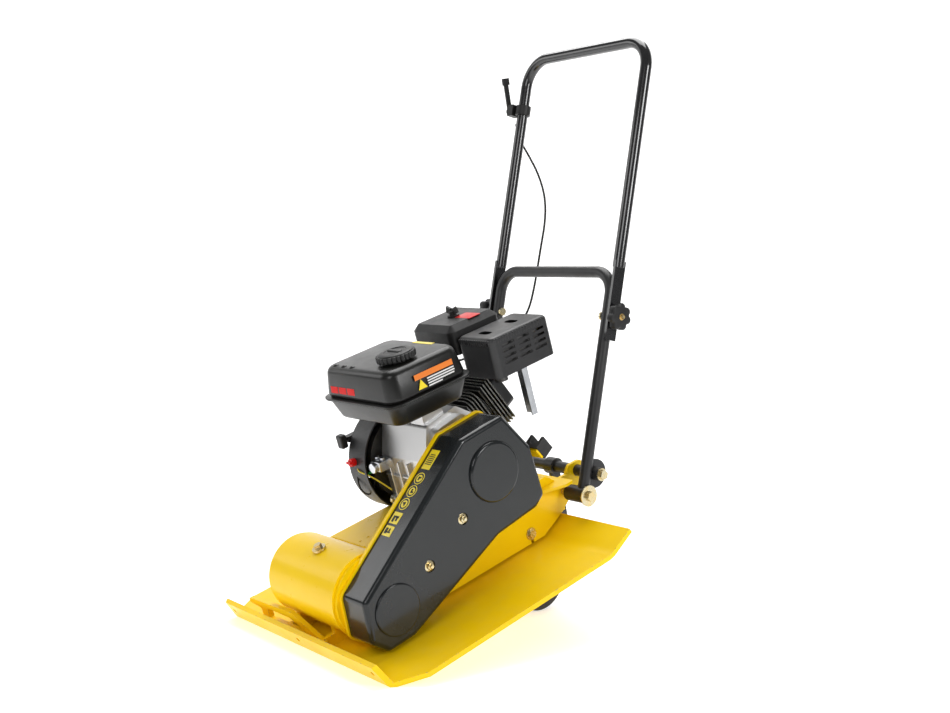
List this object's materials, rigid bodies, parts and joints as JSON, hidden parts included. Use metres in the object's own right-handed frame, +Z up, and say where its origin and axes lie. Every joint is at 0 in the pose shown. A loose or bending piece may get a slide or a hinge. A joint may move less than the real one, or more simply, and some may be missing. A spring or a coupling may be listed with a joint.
{
  "type": "plate compactor",
  "caption": "Walk-behind plate compactor: bent sole, belt-driven exciter, engine on a rubber-mounted deck, folding handle, wheel carrier.",
  "frame": {"origin": "on the ground, at the middle of the bounding box, the machine resting on its toe and lowered wheels", "axes": "+Z up, +Y towards the operator at the rear, +X towards the belt cover; the sole is pitched nose down"},
  "size_m": [0.644, 0.7938, 1.2395],
  "materials": {
    "plate_yellow": "gloss yellow enamel with scuffs",
    "black_paint": "gloss black tube paint",
    "satin_black": "satin black paint",
    "black_plastic": "grained black moulding",
    "charcoal_plastic": "glossy charcoal moulding",
    "red_plastic": "red moulding",
    "yellow_plastic": "yellow moulding",
    "cast_aluminium": "as cast",
    "bright_steel": "machined steel",
    "zinc": "yellow zinc plating",
    "galvanised": "bright zinc plating",
    "rubber": "moulded rubber",
    "tyre": "solid rubber tyre",
    "cast_iron": "machined casting",
    "cable_sheath": "black outer sheath"
  },
  "bodies": {
    "root": {"base_plate": "plate_yellow", "front_bracket": "plate_yellow", "exciter_housing": "plate_yellow", "exciter_cover_left": "plate_yellow", "exciter_cover_right": "plate_yellow", "exciter_bearings": "bright_steel", "exciter_plug": "zinc", "engine_deck": "plate_yellow", "rubber_mounts": "rubber", "mount_bolts": "zinc", "stop_bar": "satin_black", "stop_bar_tabs": "satin_black", "handle_bumpers": "rubber", "handle_bolts": "zinc", "belt_guard_back": "plate_yellow", "belt_cover": "charcoal_plastic", "v_belt": "rubber", "handle_rest": "rubber", "crankcase": "cast_aluminium", "engine_bolts": "zinc", "side_cover": "cast_aluminium", "fan_housing": "satin_black", "recoil_cover": "black_plastic", "cylinder_barrel": "cast_aluminium", "cylinder_head": "cast_aluminium", "valve_cover": "satin_black", "fuel_tank_upper": "satin_black", "fuel_tank_lower": "satin_black", "air_cleaner_base": "black_plastic", "air_cleaner_cover": "black_plastic", "carburettor": "cast_aluminium", "muffler": "cast_iron", "muffler_shroud": "satin_black", "exhaust_bracket": "galvanised", "oil_dipstick": "yellow_plastic"},
    "wheel_carrier": {"wheel_carrier": "satin_black"},
    "wheel_right": {"wheel_right": "tyre"},
    "wheel_left": {"wheel_left": "tyre"},
    "lower_handle": {"lower_handle": "satin_black", "throttle_cable_lower": "cable_sheath"},
    "upper_handle": {"upper_handle": "black_paint", "knob_bolts": "zinc", "throttle_clamp": "black_plastic", "throttle_cable_upper": "cable_sheath"},
    "knob_right": {"knob_right": "black_plastic"},
    "knob_left": {"knob_left": "black_plastic"},
    "throttle_lever": {"throttle_lever": "black_plastic"},
    "throttle_arm": {"throttle_arm": "zinc"},
    "choke_lever": {"choke_lever": "black_plastic"},
    "engine_switch": {"engine_switch": "red_plastic"},
    "crank": {"crankshaft": "bright_steel", "flywheel": "cast_iron", "clutch_hub": "cast_iron"},
    "clutch_pulley": {"clutch_pulley": "cast_iron"},
    "exciter_rotor": {"exciter_shaft": "bright_steel", "eccentric_weight": "cast_iron", "exciter_pulley": "cast_iron"},
    "fuel_cap": {"fuel_cap": "black_plastic"},
    "wing_nut": {"wing_nut": "black_plastic"},
    "recoil_grip": {"recoil_grip": "black_plastic"}
  },
  "joints": [
    {"name": "handle_fold", "type": "hinge", "parent": "root", "child": "lower_handle", "pos_m": [0, 0.20388, 0.26156], "axis": [1, 0, 0], "range_deg": [0, 56], "deforming": ["throttle_cable_lower"]},
    {"name": "upper_handle_fold", "type": "hinge", "parent": "lower_handle", "child": "upper_handle", "pos_m": [0, 0.27399, 0.63605], "axis": [1, 0, 0], "range_deg": [0, 90], "deforming": ["throttle_cable_upper"]},
    {"name": "wheel_carrier_swing", "type": "hinge", "parent": "root", "child": "wheel_carrier", "pos_m": [0, 0.23961, 0.30323], "axis": [1, 0, 0], "range_deg": [0, 150]},
    {"name": "wheel_right_spin", "type": "hinge", "parent": "wheel_carrier", "child": "wheel_right", "pos_m": [0.079, 0.16529, 0.068], "axis": [1, 0, 0], "continuous": true},
    {"name": "wheel_left_spin", "type": "hinge", "parent": "wheel_carrier", "child": "wheel_left", "pos_m": [-0.079, 0.16529, 0.068], "axis": [1, 0, 0], "continuous": true},
    {"name": "knob_right_turn", "type": "hinge", "parent": "upper_handle", "child": "knob_right", "pos_m": [0.21, 0.27399, 0.63605], "axis": [1, 0, 0], "continuous": true},
    {"name": "knob_left_turn", "type": "hinge", "parent": "upper_handle", "child": "knob_left", "pos_m": [-0.21, 0.27399, 0.63605], "axis": [1, 0, 0], "continuous": true},
    {"name": "throttle_lever_turn", "type": "hinge", "parent": "upper_handle", "child": "throttle_lever", "pos_m": [-0.2302, 0.35463, 1.11031], "axis": [1, 0, 0], "range_deg": [0, 60]},
    {"name": "throttle_arm_turn", "type": "hinge", "parent": "root", "child": "throttle_arm", "pos_m": [-0.096, 0.02343, 0.52132], "axis": [1, 0, 0], "range_deg": [0, 30]},
    {"name": "choke_lever_turn", "type": "hinge", "parent": "root", "child": "choke_lever", "pos_m": [-0.096, 0.03067, 0.53828], "axis": [-1, 0, 0], "range_deg": [0, 60]},
    {"name": "engine_switch_turn", "type": "hinge", "parent": "root", "child": "engine_switch", "pos_m": [-0.112, -0.18144, 0.33348], "axis": [0, -0.9969, -0.0784], "range_deg": [0, 90]},
    {"name": "crank_spin", "type": "hinge", "parent": "root", "child": "crank", "pos_m": [0, -0.05982, 0.34305], "axis": [1, 0, 0], "continuous": true},
    {"name": "clutch_pulley_spin", "type": "hinge", "parent": "root", "child": "clutch_pulley", "pos_m": [0.152, -0.05982, 0.34305], "axis": [1, 0, 0], "continuous": true},
    {"name": "exciter_spin", "type": "hinge", "parent": "root", "child": "exciter_rotor", "pos_m": [0, -0.29436, 0.11917], "axis": [1, 0, 0], "continuous": true},
    {"name": "fuel_cap_turn", "type": "hinge", "parent": "root", "child": "fuel_cap", "pos_m": [0.066, -0.18975, 0.55897], "axis": [0, -0.3007, 0.9537], "continuous": true},
    {"name": "wing_nut_turn", "type": "hinge", "parent": "root", "child": "wing_nut", "pos_m": [-0.036, 0.02911, 0.63635], "axis": [0, -0.3007, 0.9537], "continuous": true},
    {"name": "recoil_pull", "type": "slide", "parent": "root", "child": "recoil_grip", "axis": [0, -0.9537, -0.3007], "range_m": [0, 0.055], "stiffness_N_per_m": 20, "springref_m": -0.05}
  ],
  "couplings": [
    {"joint": "clutch_pulley_spin", "follows": "crank_spin", "ratio": 1},
    {"joint": "exciter_spin", "follows": "crank_spin", "ratio": 1.5152},
    {"joint": "throttle_arm_turn", "follows": "throttle_lever_turn", "ratio": 0.5}
  ]
}
